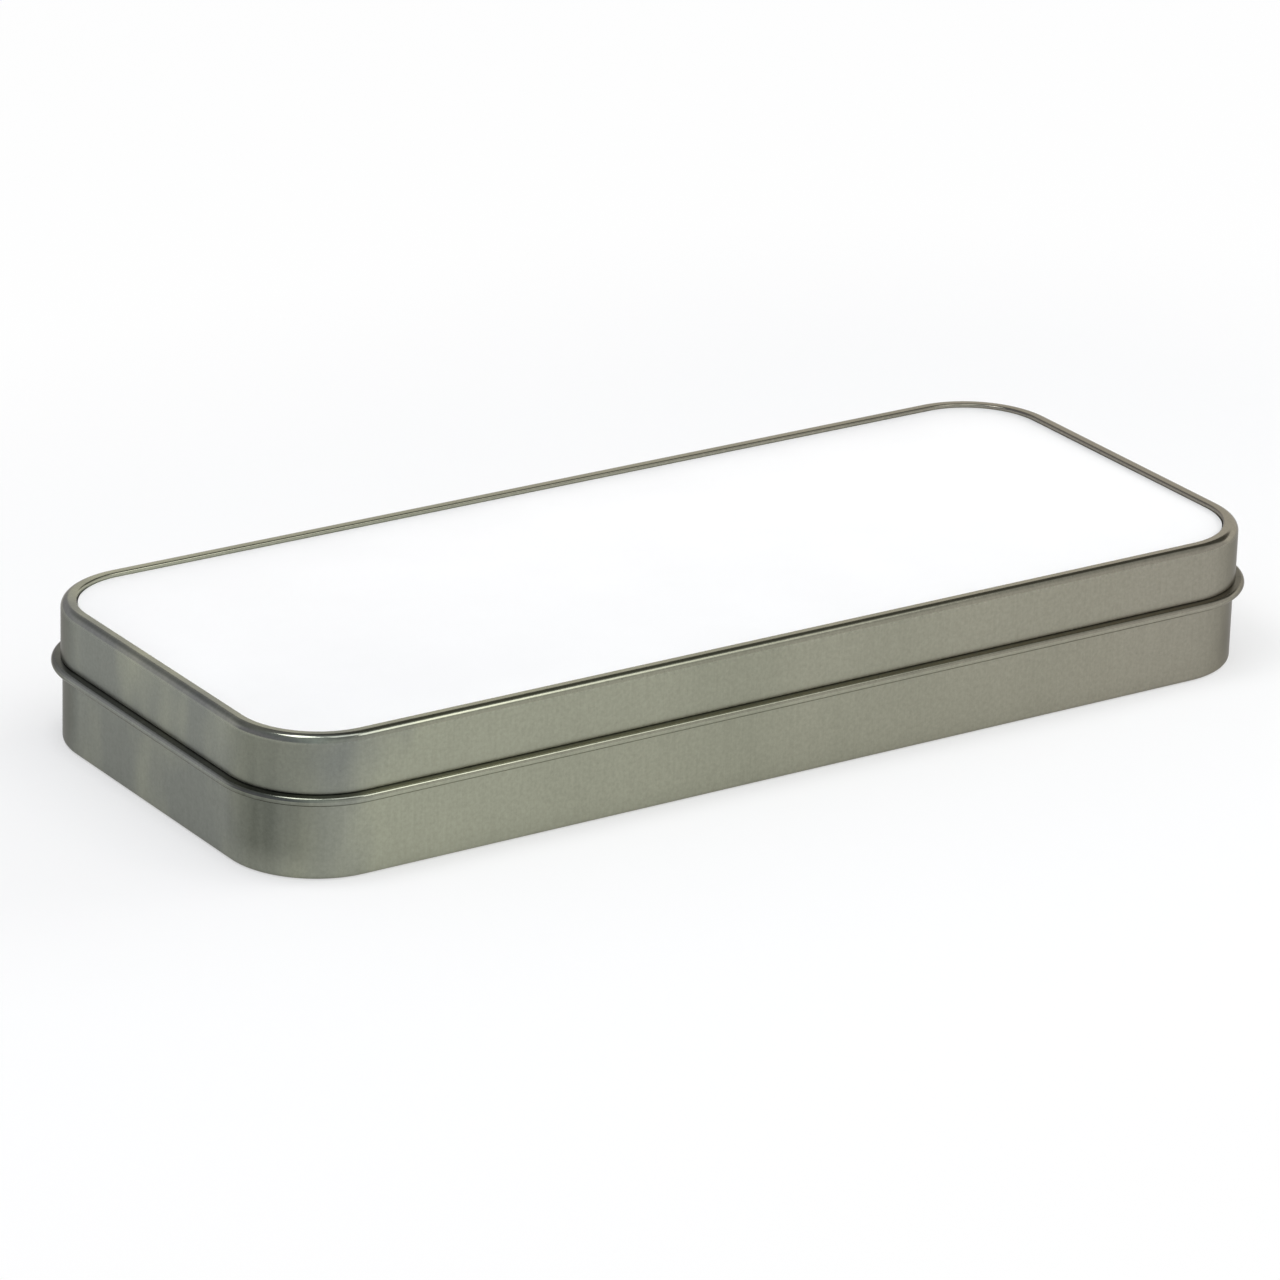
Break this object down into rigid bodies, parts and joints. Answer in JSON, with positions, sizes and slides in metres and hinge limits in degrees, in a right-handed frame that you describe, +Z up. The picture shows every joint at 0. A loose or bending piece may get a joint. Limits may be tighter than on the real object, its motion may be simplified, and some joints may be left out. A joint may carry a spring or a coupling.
{
  "type": "colored pencil tin",
  "caption": "Flat rounded tinplate pencil box with a beaded base, a lift-off slip lid holding a white plate, and a grooved tray of sharpened colored pencils.",
  "frame": {"origin": "centre of the underside, on the surface the tin stands on", "axes": "+X along the tin towards the pencils' points, +Y across it, +Z up"},
  "size_m": [0.2032, 0.0862, 0.025],
  "materials": {
    "tinplate": "satin tinplate with fine upright draw lines, uncoated",
    "white_plate": "smooth white coat",
    "adhesive_film": "thin adhesive film",
    "tray_plastic": "satin formed sheet",
    "red_casing": "red gloss paint on the flats, bare wood on the cone",
    "orange_casing": "orange gloss paint on the flats, bare wood on the cone",
    "yellow_casing": "yellow gloss paint on the flats, bare wood on the cone",
    "green_casing": "green gloss paint on the flats, bare wood on the cone",
    "turquoise_casing": "turquoise gloss paint on the flats, bare wood on the cone",
    "blue_casing": "blue gloss paint on the flats, bare wood on the cone",
    "violet_casing": "violet gloss paint on the flats, bare wood on the cone",
    "pink_casing": "pink gloss paint on the flats, bare wood on the cone",
    "brown_casing": "brown gloss paint on the flats, bare wood on the cone",
    "black_casing": "black gloss paint on the flats, bare wood on the cone",
    "red_core": "red waxy core",
    "orange_core": "orange waxy core",
    "yellow_core": "yellow waxy core",
    "green_core": "green waxy core",
    "turquoise_core": "turquoise waxy core",
    "blue_core": "blue waxy core",
    "violet_core": "violet waxy core",
    "pink_core": "pink waxy core",
    "brown_core": "brown waxy core",
    "black_core": "black waxy core"
  },
  "bodies": {
    "base": {"base_shell": "tinplate", "pencil_tray": "tray_plastic", "pencil_red_casing": "red_casing", "pencil_orange_casing": "orange_casing", "pencil_yellow_casing": "yellow_casing", "pencil_green_casing": "green_casing", "pencil_turquoise_casing": "turquoise_casing", "pencil_blue_casing": "blue_casing", "pencil_violet_casing": "violet_casing", "pencil_pink_casing": "pink_casing", "pencil_brown_casing": "brown_casing", "pencil_black_casing": "black_casing", "pencil_red_core": "red_core", "pencil_orange_core": "orange_core", "pencil_yellow_core": "yellow_core", "pencil_green_core": "green_core", "pencil_turquoise_core": "turquoise_core", "pencil_blue_core": "blue_core", "pencil_violet_core": "violet_core", "pencil_pink_core": "pink_core", "pencil_brown_core": "brown_core", "pencil_black_core": "black_core"},
    "lid": {"lid_shell": "tinplate", "panel_adhesive": "adhesive_film", "white_panel": "white_plate"}
  },
  "joints": [
    {"name": "lid_lift", "type": "slide", "parent": "base", "child": "lid", "axis": [0, 0, 1], "range_m": [0, 0.08]}
  ]
}
